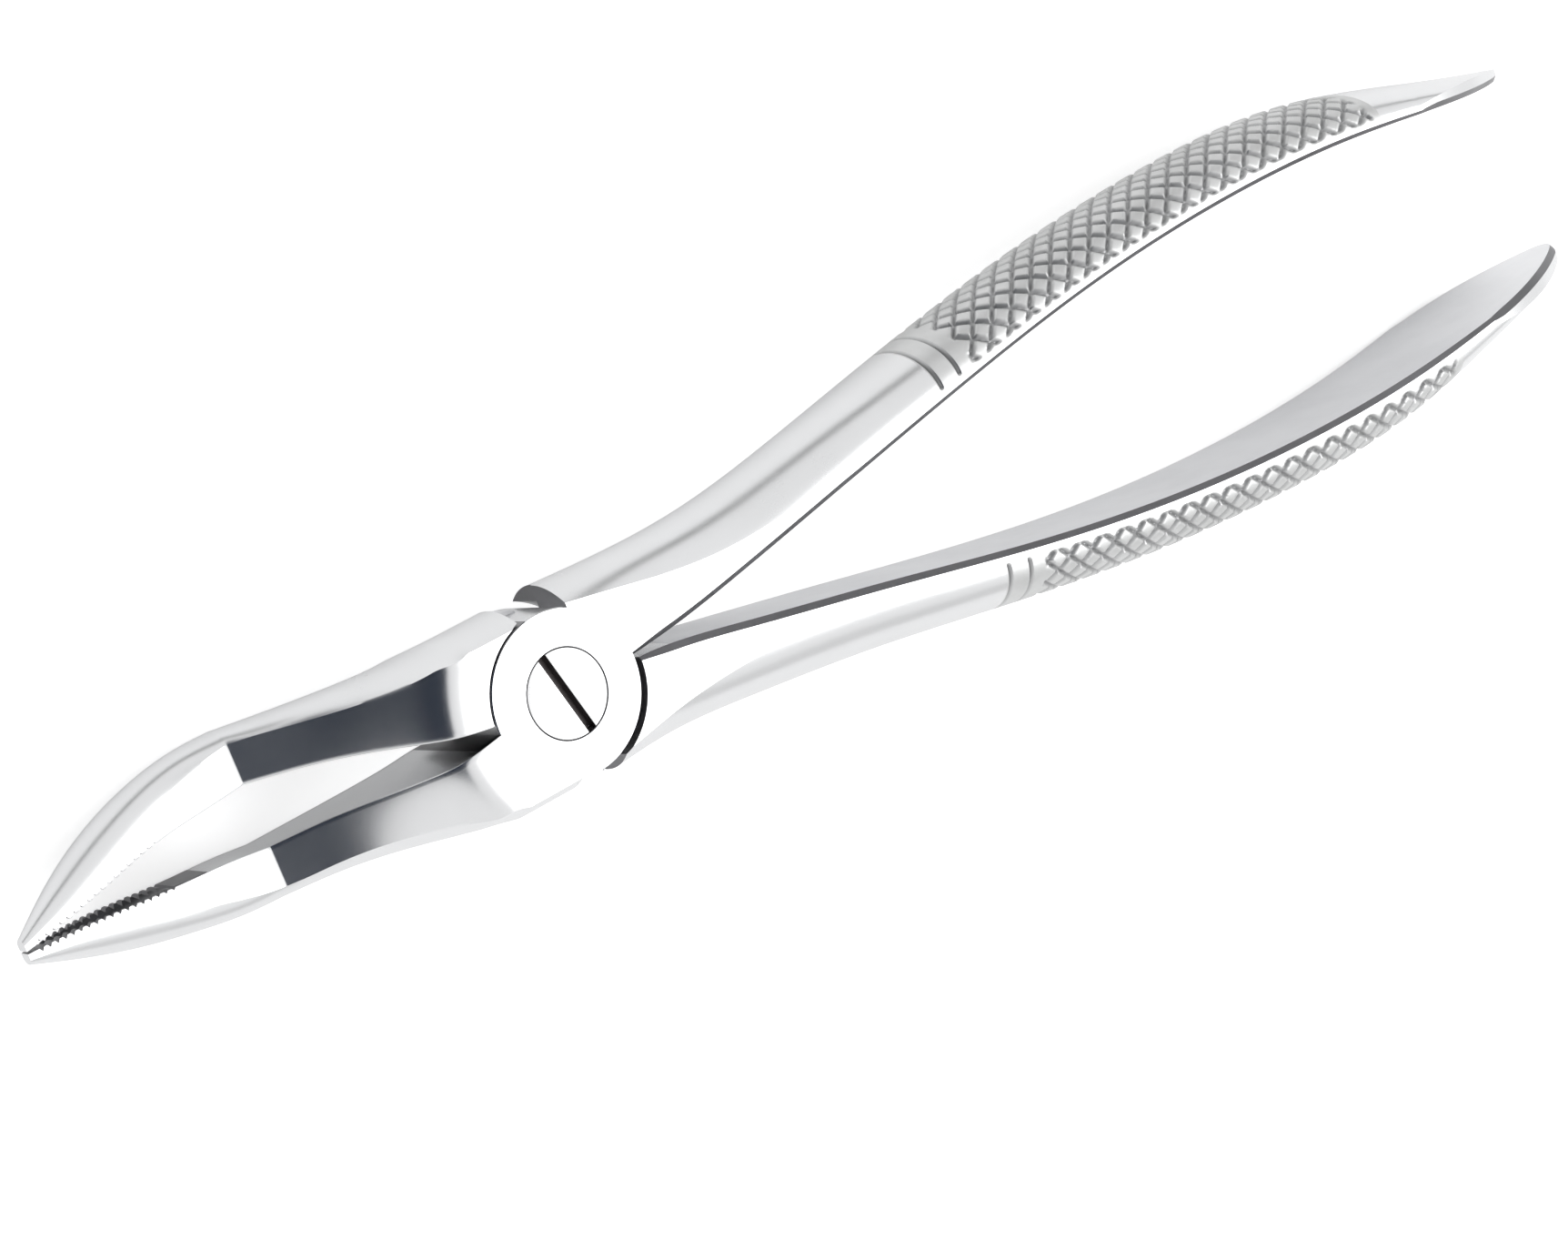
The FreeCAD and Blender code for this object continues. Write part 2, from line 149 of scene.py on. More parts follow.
# which side of the middle plane each half's handle lies on
HANDLE_SIDE = {"front_half": 1.0, "back_half": -1.0}


# ---------------------------------------------------------------- curves and meshes


def natural_spline(knots, values):
    """Smooth curve through the given values; returns a function of position."""
    x, y = np.asarray(knots, float), np.asarray(values, float)
    n = len(x)
    h = np.diff(x)
    a = np.eye(n)
    b = np.zeros(n)
    for i in range(1, n - 1):
        a[i, i - 1 : i + 2] = h[i - 1], 2 * (h[i - 1] + h[i]), h[i]
        b[i] = 6 * ((y[i + 1] - y[i]) / h[i] - (y[i] - y[i - 1]) / h[i - 1])
    m = np.linalg.solve(a, b)

    def curve(t):
        t = np.clip(t, x[0], x[-1])
        i = np.clip(np.searchsorted(x, t) - 1, 0, n - 2)
        u, v = x[i + 1] - t, t - x[i]
        w = h[i]
        return (
            m[i] * u**3 / (6 * w)
            + m[i + 1] * v**3 / (6 * w)
            + (y[i] / w - m[i] * w / 6) * u
            + (y[i + 1] / w - m[i + 1] * w / 6) * v
        )

    return curve


def smooth_step(t):
    t = np.clip(t, 0.0, 1.0)
    return t * t * (3 - 2 * t)


def make_object(name, points, faces):
    """Mesh object from points in millimetres."""
    mesh = bpy.data.meshes.new(name)
    mesh.from_pydata((np.asarray(points, float) * MM).tolist(), [], faces)
    mesh.update()
    made = bpy.data.objects.new(name, mesh)
    bpy.context.scene.collection.objects.link(made)
    return made


def face_outwards(made):
    """Turns every face of a closed mesh outwards."""
    mesh = made.data
    volume = 0.0
    for polygon in mesh.polygons:
        corners = [mesh.vertices[v].co for v in polygon.vertices]
        for second, third in zip(corners[1:], corners[2:]):
            volume += corners[0].dot(second.cross(third))
    if volume < 0:
        mesh.flip_normals()
    return made


def tube(name, loops):
    """Closed solid through equal loops of points, with flat ends."""
    rows, count = len(loops), len(loops[0])
    points = np.concatenate(loops)
    faces = []
    for row in range(rows - 1):
        low, high = row * count, (row + 1) * count
        for i in range(count):
            j = (i + 1) % count
            faces.append((low + i, low + j, high + j, high + i))
    faces.append(tuple(range(count))[::-1])
    faces.append(tuple((rows - 1) * count + i for i in range(count)))
    return face_outwards(make_object(name, points, faces))


def turned(name, profile, centre=(0.0, 0.0), steps=160):
    """Solid of revolution about a line parallel to Z; the profile is (radius, height) pairs that
    start and end on the axis."""
    angles = np.linspace(0, 2 * math.pi, steps, endpoint=False)
    ring = np.stack([np.cos(angles), np.sin(angles)], axis=1)
    points = [(centre[0], centre[1], profile[0][1])]
    for radius, height in profile[1:-1]:
        for c, s in ring:
            points.append((centre[0] + radius * c, centre[1] + radius * s, height))
    points.append((centre[0], centre[1], profile[-1][1]))
    faces = []
    last = len(points) - 1
    rings = len(profile) - 2
    for i in range(steps):
        j = (i + 1) % steps
        faces.append((0, 1 + j, 1 + i))
        for row in range(rings - 1):
            low, high = 1 + row * steps, 1 + (row + 1) * steps
            faces.append((low + i, low + j, high + j, high + i))
        top = 1 + (rings - 1) * steps
        faces.append((top + i, top + j, last))
    return face_outwards(make_object(name, points, faces))


def block(name, low, high, turn=0.0):
    """Box between two corners, turned about Z."""
    points = []
    c, s = math.cos(turn), math.sin(turn)
    for x in (low[0], high[0]):
        for y in (low[1], high[1]):
            for z in (low[2], high[2]):
                points.append((c * x - s * y, s * x + c * y, z))
    faces = [(0, 1, 3, 2), (4, 6, 7, 5), (0, 4, 5, 1), (2, 3, 7, 6), (0, 2, 6, 4), (1, 5, 7, 3)]
    return face_outwards(make_object(name, points, faces))


def remove(made):
    mesh = made.data
    bpy.data.objects.remove(made)
    bpy.data.meshes.remove(mesh)


def settle(made):
    """Writes an object's modifiers into its mesh."""
    depsgraph = bpy.context.evaluated_depsgraph_get()
    mesh = bpy.data.meshes.new_from_object(made.evaluated_get(depsgraph))
    old = made.data
    made.modifiers.clear()
    made.data = mesh
    mesh.name = made.name
    bpy.data.meshes.remove(old)


def combine(base, tools, operation):
    """Joins solids to the base, or cuts them from it."""
    for tool in tools:
        step = base.modifiers.new("step", "BOOLEAN")
        step.operation = operation
        step.object = tool
        step.solver = "MANIFOLD"
        settle(base)
        remove(tool)


# ---------------------------------------------------------------- handle


def handle_curves(name):
    """Inner face, depth, width and side band of one handle along X."""
    x = [HANDLE_START, 10.0]
    inner = [NECK_GAP, 2.5 * NECK_GAP]
    depth = [HALF_WIDTH, 0.94 * HALF_WIDTH]
    width = [THICK, 1.02 * THICK]
    band = [0.80, 0.68]
    for along, inset, deep, wide, low in HANDLE_STATIONS:
        x.append(along * REACH)
        inner.append(inset * BOW)
        depth.append(deep * GRIP_DEPTH[name])
        width.append(wide * GRIP_WIDTH)
        band.append(low)
    return [natural_spline(x, values) for values in (inner, depth, width, band)]


def end_half_width(x):
    """Half width that the rounded end leaves at x."""
    half, tip = GRIP_WIDTH / 2, END_RADIUS
    run = END_ROUND - tip
    long_radius = (run**2 + half**2 - tip**2) / (2 * (half - tip))
    t = np.maximum(x - (REACH - END_ROUND), 0.0)
    leaf = half - long_radius + np.sqrt(long_radius**2 - t**2)
    touch = REACH - tip + tip * run / (long_radius - tip)
    r = np.clip(x - (REACH - tip), -tip, tip * 0.9995)
    return np.where(x < touch, leaf, np.sqrt(tip**2 - r**2))


def cut_depth(along, around, room):
    """Depth of the cross cuts at a place on the back: distance along, round the back from its
    crest, and to the edge of the back."""
    ends = smooth_step((along - CUT_START) / 0.6) * smooth_step((CUT_END - along) / 0.6)
    ends = ends * smooth_step((room - 0.1) / 0.4)
    deepest = np.zeros_like(along)
    for turn in (1.0, -1.0):
        across = (along + turn * around) / math.sqrt(2)
        away = np.abs((across / CUT_PITCH + 0.5) % 1.0 - 0.5) * CUT_PITCH
        deepest = np.maximum(deepest, np.clip(1 - away / CUT_HALF_WIDTH, 0, 1))
    return CUT_DEPTH * ends * np.minimum(deepest * 1.2, 1.0)


def ring_depth(x, room):
    """Two V grooves round the back, just before the cross cuts."""
    total = sum(np.clip(1 - np.abs(x - place) / (RING_WIDTH / 2), 0, 1) for place in RINGS)
    return RING_DEPTH * total * smooth_step((room - 0.1) / 0.4)


def handle_rows():
    """Stations along the handle: close together in the grip and at the rounded end."""
    parts = [np.arange(HANDLE_START, 47.0, 0.8)]
    for place in RINGS:
        parts.append(np.linspace(place - 0.4, place + 0.4, 19))
    parts.append(np.array([49.0, 49.6]))
    parts.append(np.arange(51.3, 109.2, 0.16))
    parts.append(np.arange(109.4, REACH - 3.3, 0.5))
    parts.append(REACH - 3.2 + 3.2 * np.sin(np.linspace(0, math.pi / 2, 22)))
    return np.sort(np.concatenate(parts))


def grip_share(x):
    """0 in the neck, 1 in the grip."""
    return smooth_step((x - GRIP_START) / GRIP_BLEND)


def rim_height(x, depth, band):
    """Height of the plain side above the inner face: the joint's flat runs out into a low rim."""
    low = grip_share(x)
    return depth * (band * (1 - low) + RIM_SHARE * low)


def back_curve(half, full, inner, depth, band, rim, oval):
    """Rounded back from one side to the other: an arc near the joint, an oval in the grip."""
    crown = (1 - band) * depth
    radius = (full**2 + crown**2) / (2 * crown)
    share = min(half / full, 0.99999)
    u = np.linspace(1, -1, BACK_STEPS)
    arc_turn = u * math.asin(min(half / radius, 1.0))
    oval_turn = u * math.asin(share)
    arc_z = radius * np.sin(arc_turn)
    arc_y = inner + depth - radius + radius * np.cos(arc_turn)
    oval_z = full * np.sin(oval_turn)
    oval_y = inner + rim + (depth - rim) * np.cos(oval_turn)
    return arc_z * (1 - oval) + oval_z * oval, arc_y * (1 - oval) + oval_y * oval


def handle_mesh(name):
    """Handle with a slightly hollow inner face, a bevel, a low rim, and a rounded back with rings
    and cross cuts. The crests of the cuts keep the outline of the back. Also returns the points
    in the hollows with their depths."""
    inner_at, depth_at, width_at, band_at = handle_curves(name)
    rows = handle_rows()
    inner = np.maximum(inner_at(rows), NECK_GAP)
    depth, band = depth_at(rows) - 0.02, band_at(rows)
    full = width_at(rows) / 2
    half = np.minimum(full, end_half_width(rows))
    run = np.concatenate([[0], np.cumsum(np.hypot(np.diff(rows), np.diff(inner + depth)))])
    run += CUT_START - np.interp(CUT_START, rows, run)
    loops, hollows = [], []
    for k, x in enumerate(rows):
        w, y0 = half[k], inner[k]
        oval = float(grip_share(x))
        rim = float(rim_height(x, depth[k], band[k]))
        z, y = back_curve(w, full[k], y0, depth[k], band[k], rim, oval)
        step_z, step_y = np.gradient(z), np.gradient(y)
        length = np.hypot(step_z, step_y)
        around = np.cumsum(length)
        around -= around[BACK_STEPS // 2]
        room = np.minimum(around - around[0], around[-1] - around)
        sink = cut_depth(np.full(BACK_STEPS, run[k]), around, room)
        sink = sink + ring_depth(np.full(BACK_STEPS, x), room)
        shoulder = y[0]
        z = z - sink * step_y / length
        y = y + sink * step_z / length
        bevel_share = float(smooth_step((x - 4.0) / 8.0))
        edge = min(BEVEL, 0.5 * (shoulder - y0), 0.3 * w) * bevel_share + 0.02
        dish = DISH * float(smooth_step((x - GRIP_START) / 20.0)) * (w / full[k]) ** 2
        flat = np.linspace(-(w - edge), w - edge, 15)
        side = np.linspace(edge, max(shoulder - y0, edge) * 0.985, 4)
        outline = [(a, y0 + dish * (1 - (a / (w - edge)) ** 2)) for a in flat]
        outline += [(w, y0 + s) for s in side]
        outline += list(zip(z, y))
        outline += [(-w, y0 + s) for s in side[::-1]]
        flat_z, flat_y = np.array(outline).T
        flat_y = flat_y * HANDLE_SIDE[name]
        loops.append(np.stack([np.full(len(flat_z), x), flat_y, MID + flat_z], axis=1))
        for i in np.nonzero(sink > 0.02)[0]:
            hollows.append(((x, y[i] * HANDLE_SIDE[name], MID + z[i]), sink[i] / CUT_DEPTH))
    return tube(name + "_handle", loops), hollows


# ---------------------------------------------------------------- jaw


def jaw_curves():
    """Inner side, outer side, front drop, thickness, flare and rounding along the jaw."""
    shank = [(CHEEK_END, 0.10, CHEEK_OUTER, 0.0, 1.0, 0.0, 0.15)]
    shank += [(row[0] * JAW_REACH,) + row[1:] for row in JAW_STATIONS[:5]]
    beak = [(row[0] * JAW_REACH,) + row[1:] for row in JAW_STATIONS[4:]]
    curves = []
    for column in range(1, 7):
        parts = []
        for table in (shank, beak):
            parts.append(natural_spline([r[0] for r in table], [r[column] for r in table]))
        curves.append(parts)
    return curves


def jaw_value(parts, t):
    """Value at distance t along the jaw: straight cheek, shank, then beak past the bend."""
    t = np.asarray(t, float)
    return np.where(t <= BEND, parts[0](t), parts[1](t))


def front_drop(parts, t, place):
    """How far the jaw's front lies below the joint face. The flat rolls off into the slope
    nearer the joint at the outer side (place 1) than at the inner side (place 0)."""
    fade = 1 - smooth_step((t - ROLL_FADE[0]) / ROLL_FADE[1])
    moved = t - fade * (ROLL_INNER - ROLL_SKEW * max(place, 0.0) ** 1.5)
    steep = float(jaw_value(parts, CHEEK_END + 0.5)) * JAW_DROP / 0.5
    line = float(jaw_value(parts, moved)) * JAW_DROP
    if moved < CHEEK_END + 0.01:
        line = steep * (moved - CHEEK_END)
    if line > 8 * ROLL_SOFT:
        return line
    return ROLL_SOFT * math.log1p(math.exp(line / ROLL_SOFT))


def jaw_mesh(name):
    """Cheek beside the joint, sloping shank and beak, as one solid. The outer edge is crisper on
    the slope than beside the joint and on the beak."""
    inner_c, outer_c, drop_c, thick_c, flare_c, crown_c = jaw_curves()
    reach = np.concatenate(
        [
            np.linspace(-JAW_ROOT, JAW_START, 6),
            np.arange(JAW_START + 0.4, BEND - 0.05, 0.35),
            [BEND - 0.02, BEND + 0.02],
            np.arange(BEND + 0.3, JAW_REACH - 0.15, 0.3),
            [JAW_REACH],
        ]
    )
    side = -HANDLE_SIDE[name]
    loops = []
    for t in reach:
        inner = TIP_GAP / 2 + float(jaw_value(inner_c, t)) * BEAK_GAP
        outer_share = float(jaw_value(outer_c, t))
        if t < JAW_START:
            outer_share += (CHEEK_ROOT - CHEEK_OUTER) * (JAW_START - t) / (JAW_START + JAW_ROOT)
        outer = outer_share * HALF_WIDTH
        thick = float(jaw_value(thick_c, t)) * THICK
        crisp = smooth_step((t - CRISP_START[0]) / CRISP_START[1])
        crisp = float(crisp * (1 - smooth_step((t - CRISP_END[0]) / CRISP_END[1])))
        crown = float(jaw_value(crown_c, t)) * THICK * (1 - CRISP_SHARE * crisp)
        flare = float(jaw_value(flare_c, t)) * THICK
        low = THICK - float(jaw_value(drop_c, t)) * JAW_DROP - thick
        shoulder = outer - crown
        corner = min(0.16, 0.1 * (shoulder - inner), 0.1 * thick)

        def front(y):
            place = (y - inner) / max(outer - inner, 0.1)
            return THICK - front_drop(drop_c, t, place)

        inner_front = front(inner)
        outline = [(inner, z) for z in np.linspace(low + corner, inner_front - corner, 14)]
        outline.append((inner + 0.29 * corner, inner_front - 0.29 * corner))
        outline += [(y, front(y)) for y in np.linspace(inner + corner, shoulder, 16)]
        top, bottom = front(shoulder), max(low - flare, LOWEST)
        middle, half = (top + bottom) / 2, (top - bottom) / 2
        radius = (half**2 + crown**2) / (2 * crown)
        spread = 2 * math.atan2(crown, half)
        for angle in np.linspace(spread, -spread, 40)[1:-1]:
            outline.append((outer - radius + radius * math.cos(angle), middle + radius * math.sin(angle)))
        for part in np.linspace(0, 1, 10):
            y = shoulder + (inner + corner - shoulder) * part
            outline.append((y, bottom + (low - bottom) * part))
        outline.append((inner + 0.29 * corner, low + 0.29 * corner))
        y, z = np.array(outline).T
        loops.append(np.stack([np.full(len(y), -t), y * side, z], axis=1))
    return tube(name + "_jaw", loops)


def gutter_tool(name):
    """Hollow of the beak: a slim lens about a line in the middle plane."""
    ends = []
    for reach, drop, thick in (GUTTER_HEEL, GUTTER_TIP):
        ends.append(np.array([-reach * JAW_REACH, 0.0, THICK - drop * JAW_DROP - thick * THICK]))
    heel, tip = ends
    length = np.linalg.norm(tip - heel)
    line = (tip - heel) / length
    across = np.array([0.0, 1.0, 0.0])
    up = np.cross(line, across)
    arc = ((length / 2) ** 2 + GUTTER_DEPTH**2) / (2 * GUTTER_DEPTH)
    loops = []
    for s in np.linspace(0.004, 0.996, 90) * length:
        r = max(math.sqrt(arc**2 - (s - length / 2) ** 2) - (arc - GUTTER_DEPTH), 0.01)
        angles = np.linspace(0, 2 * math.pi, 72, endpoint=False)
        centre = heel + line * s
        loops.append(
            centre + r * (np.cos(angles)[:, None] * across + np.sin(angles)[:, None] * up)
        )
    return tube(name + "_gutter", loops)


def tooth_tool(name):
    """Row of V cuts over the beak's inner side."""
    inner_c, _, drop_c, thick_c, _, _ = jaw_curves()
    side = -HANDLE_SIDE[name]
    points, faces = [], []
    for t in np.arange(TOOTH_START, TOOTH_END, TOOTH_PITCH):
        inner = TIP_GAP / 2 + float(jaw_value(inner_c, t)) * BEAK_GAP
        front = THICK - float(jaw_value(drop_c, t)) * JAW_DROP
        low = front - float(jaw_value(thick_c, t)) * THICK - 1.0
        slope = float(jaw_value(inner_c, t + 0.4) - jaw_value(inner_c, t - 0.4)) * BEAK_GAP / 0.8
        fade = 0.8 + 0.2 * float(smooth_step((t - TOOTH_START) / 4.0))
        depth = TOOTH_DEPTH * fade
        half = TOOTH_PITCH * 0.46
        first = len(points)
        for z in (low, front + 1.0):
            for dx, dy in ((-half, -0.12), (half, -0.12), (0.0, depth)):
                points.append((-(t + dx), (inner + dy + slope * dx) * side, z))
        a, b, c, d, e, f = range(first, first + 6)
        faces += [(a, c, b), (d, e, f), (a, b, e, d), (b, c, f, e), (c, a, d, f)]
    return face_outwards(make_object(name + "_teeth", points, faces))


# ---------------------------------------------------------------- halves and screw


def chamfered_disc(name, low, high, chamfer_low, chamfer_high):
    profile = [
        (0, low),
        (DISC_RADIUS - chamfer_low, low),
        (DISC_RADIUS, low + chamfer_low),
        (DISC_RADIUS, high - chamfer_high),
        (DISC_RADIUS - chamfer_high, high),
        (0, high),
    ]
    return turned(name + "_disc", profile)


def half_mesh(name):
    """One forged half: handle, disc and jaw joined, then the lap, screw hole, gutter and teeth
    cut."""
    upper = name == "front_half"
    if upper:
        disc = chamfered_disc(name, MID + LAP_GAP / 2, THICK, 0.02, 0.1)
        lap = (-30.0, MID + LAP_GAP / 2)
    else:
        disc = chamfered_disc(name, 0.0, MID - LAP_GAP / 2, 0.1, 0.02)
        lap = (MID - LAP_GAP / 2, 40.0)
    half, hollows = handle_mesh(name)
    combine(half, [disc, jaw_mesh(name)], "UNION")
    shift = RELIEF_SHIFT
    cuts = []
    for centre in ((0.0, 0.0), (shift, shift * HANDLE_SIDE[name])):
        bore = DISC_RADIUS + RECESS_GAP
        profile = [(0, lap[0]), (bore, lap[0]), (bore, lap[1]), (0, lap[1])]
        cuts.append(turned(name + "_recess", profile, centre, 200))
    cuts.append(block(name + "_swing", (-JAW_START, -30, lap[0]), (LAP_SHOULDER, 30, lap[1])))
    radius = SHANK_RADIUS + (0.05 if upper else 0.01)
    cuts.append(turned(name + "_bore", [(0, -9), (radius, -9), (radius, 19), (0, 19)], steps=96))
    if upper:
        seat = THICK - HEAD_HEIGHT - 0.05
        wide = HEAD_RADIUS + 0.05
        rim = [(0, seat), (wide, seat), (wide, THICK - 0.06), (wide + 0.3, THICK + 0.24)]
        cuts.append(turned(name + "_seat", rim + [(wide + 0.3, 19), (0, 19)]))
    cuts.append(gutter_tool(name))
    cuts.append(tooth_tool(name))
    combine(half, cuts, "DIFFERENCE")
    half.name = name + "_forged"
    return half, hollows


def screw_mesh():
    """Slotted screw with a lightly crowned edge and a slot with broken edges."""
    low = THICK - HEAD_HEIGHT
    edge = 0.12
    profile = [
        (0, 0.0),
        (SHANK_RADIUS - 0.2, 0.0),
        (SHANK_RADIUS, 0.2),
        (SHANK_RADIUS, low),
        (HEAD_RADIUS - 0.05, low),
        (HEAD_RADIUS, low + 0.05),
        (HEAD_RADIUS, THICK - edge),
        (HEAD_RADIUS - 0.35 * edge, THICK - 0.25 * edge),
        (HEAD_RADIUS - edge, THICK),
        (0, THICK),
    ]
    screw = turned("screw_slotted", profile, steps=192)
    half = SLOT_WIDTH / 2
    slot = block("slot", (-6, -half, THICK - SLOT_DEPTH), (6, half, THICK + 2), SLOT_ANGLE)
    c, s = math.cos(SLOT_ANGLE), math.sin(SLOT_ANGLE)
    points = []
    for x in (-6.0, 6.0):
        for y, z in ((-half - 0.2, THICK + 0.14), (half + 0.2, THICK + 0.14), (0.0, THICK - 0.51)):
            points.append((c * x - s * y, s * x + c * y, z))
    # wedge that breaks the slot's two edges
    faces = [(0, 1, 2), (3, 5, 4), (0, 3, 4, 1), (1, 4, 5, 2), (2, 5, 3, 0)]
    broken = face_outwards(make_object("slot_edges", points, faces))
    combine(screw, [slot, broken], "DIFFERENCE")
    return screw


# ---------------------------------------------------------------- shader node groups


class Graph:
    """Small helper to lay out nodes in one tree."""

    def __init__(self, tree):
        self.tree = tree

    def add(self, kind, **values):
        node = self.tree.nodes.new(kind)
        for key, value in values.items():
            setattr(node, key, value)
        return node

    def link(self, source, target):
        self.tree.links.new(source, target)

    def math(self, operation, first, second=None, clamp=False):
        node = self.add("ShaderNodeMath", operation=operation, use_clamp=clamp)
        for socket, value in zip(node.inputs, (first, second)):
            if value is None:
                continue
            if isinstance(value, (int, float)):
                socket.default_value = value
            else:
                self.link(value, socket)
        return node.outputs[0]


def new_group(name, inputs, outputs):
    group = bpy.data.node_groups.new(name, "ShaderNodeTree")
    for label, kind, value in inputs:
        socket = group.interface.new_socket(label, in_out="INPUT", socket_type=kind)
        socket.default_value = value
    for label, kind in outputs:
        group.interface.new_socket(label, in_out="OUTPUT", socket_type=kind)
    graph = Graph(group)
    return group, graph, graph.add("NodeGroupInput"), graph.add("NodeGroupOutput")


def grain_group():
    """Fine polishing or brushing marks, stretched along one direction."""
    number, vector = "NodeSocketFloat", "NodeSocketVector"
    group, g, inside, out = new_group(
        "polishing_marks",
        (
            ("Stretch", vector, (1.0, 1.0, 1.0)),
            ("Fineness", number, 900.0),
            ("Depth", number, 1.0),
        ),
        (("Height", number), ("Mask", number)),
    )
    place = g.add("ShaderNodeTexCoord")
    stretch = g.add("ShaderNodeVectorMath", operation="MULTIPLY")
    g.link(place.outputs["Object"], stretch.inputs[0])
    g.link(inside.outputs["Stretch"], stretch.inputs[1])
    fine = g.add("ShaderNodeTexNoise")
    fine.inputs["Detail"].default_value = 3.0
    fine.inputs["Roughness"].default_value = 0.65
    g.link(stretch.outputs[0], fine.inputs["Vector"])
    g.link(inside.outputs["Fineness"], fine.inputs["Scale"])
    wide = g.add("ShaderNodeTexNoise")
    wide.inputs["Detail"].default_value = 2.0
    g.link(stretch.outputs[0], wide.inputs["Vector"])
    g.link(g.math("MULTIPLY", inside.outputs["Fineness"], 0.21), wide.inputs["Scale"])
    fine_part = g.math("MULTIPLY", fine.outputs[0], 0.7)
    wide_part = g.math("MULTIPLY", wide.outputs[0], 0.3)
    both = g.math("ADD", fine_part, wide_part)
    g.link(g.math("MULTIPLY", both, inside.outputs["Depth"]), out.inputs["Height"])
    g.link(both, out.inputs["Mask"])
    return group


def wear_group():
    """Soft patches where handling and wiping leave the steel duller or warmer."""
    number, colour = "NodeSocketFloat", "NodeSocketColor"
    group, g, inside, out = new_group(
        "handling_film",
        (
            ("Clean", colour, (0.8, 0.8, 0.8, 1)),
            ("Film", colour, (0.7, 0.7, 0.7, 1)),
            ("Patch size", number, 60.0),
            ("Amount", number, 0.5),
            ("Gloss", number, 0.2),
            ("Gloss change", number, 0.08),
            ("Marks", number, 0.5),
        ),
        (("Color", colour), ("Roughness", number)),
    )
    place = g.add("ShaderNodeTexCoord")
    patch = g.add("ShaderNodeTexNoise")
    patch.inputs["Detail"].default_value = 5.0
    patch.inputs["Roughness"].default_value = 0.6
    g.link(place.outputs["Object"], patch.inputs["Vector"])
    g.link(inside.outputs["Patch size"], patch.inputs["Scale"])
    spread = g.add("ShaderNodeMapRange")
    spread.inputs["From Min"].default_value = 0.38
    spread.inputs["From Max"].default_value = 0.68
    g.link(patch.outputs[0], spread.inputs["Value"])
    amount = g.math("MULTIPLY", spread.outputs[0], inside.outputs["Amount"], clamp=True)
    mix = g.add("ShaderNodeMix", data_type="RGBA")
    g.link(amount, mix.inputs["Factor"])
    g.link(inside.outputs["Clean"], mix.inputs["A"])
    g.link(inside.outputs["Film"], mix.inputs["B"])
    g.link(mix.outputs["Result"], out.inputs["Color"])
    marks = g.math("SUBTRACT", inside.outputs["Marks"], 0.5)
    change = g.math("MULTIPLY", g.math("ADD", amount, marks), inside.outputs["Gloss change"])
    g.link(g.math("ADD", inside.outputs["Gloss"], change, clamp=True), out.inputs["Roughness"])
    return group


def steel(name, groups, finish):
    """Steel with its own polishing marks, film and gloss."""
    material = bpy.data.materials.new(name)
    material.use_nodes = True
    tree = material.node_tree
    tree.nodes.clear()
    g = Graph(tree)
    shader = g.add("ShaderNodeBsdfPrincipled")
    shader.inputs["Metallic"].default_value = 1.0
    shader.inputs["IOR"].default_value = 2.5
    out = g.add("ShaderNodeOutputMaterial")
    g.link(shader.outputs[0], out.inputs["Surface"])

    marks = g.add("ShaderNodeGroup", node_tree=groups["marks"])
    marks.inputs["Stretch"].default_value = finish["stretch"]
    marks.inputs["Fineness"].default_value = finish["fineness"]
    film = g.add("ShaderNodeGroup", node_tree=groups["film"])
    film.inputs["Clean"].default_value = (*finish["clean"], 1)
    film.inputs["Film"].default_value = (*finish["film"], 1)
    film.inputs["Patch size"].default_value = finish["patch"]
    film.inputs["Amount"].default_value = finish["amount"]
    film.inputs["Gloss"].default_value = finish["gloss"]
    film.inputs["Gloss change"].default_value = finish["gloss_change"]
    g.link(marks.outputs["Mask"], film.inputs["Marks"])

    colour = film.outputs["Color"]
    if "soil" in finish:
        hollow = g.add("ShaderNodeAttribute", attribute_name="cut_depth")
        mix = g.add("ShaderNodeMix", data_type="RGBA", blend_type="MULTIPLY")
        g.link(g.math("MULTIPLY", hollow.outputs["Fac"], 0.85, clamp=True), mix.inputs["Factor"])
        g.link(colour, mix.inputs["A"])
        mix.inputs["B"].default_value = (*finish["soil"], 1)
        colour = mix.outputs["Result"]
    g.link(colour, shader.inputs["Base Color"])
    g.link(film.outputs["Roughness"], shader.inputs["Roughness"])
    bump = g.add("ShaderNodeBump")
    bump.inputs["Strength"].default_value = finish["bump"]
    bump.inputs["Distance"].default_value = 0.00002
    g.link(marks.outputs["Height"], bump.inputs["Height"])
    g.link(bump.outputs["Normal"], shader.inputs["Normal"])
    return material


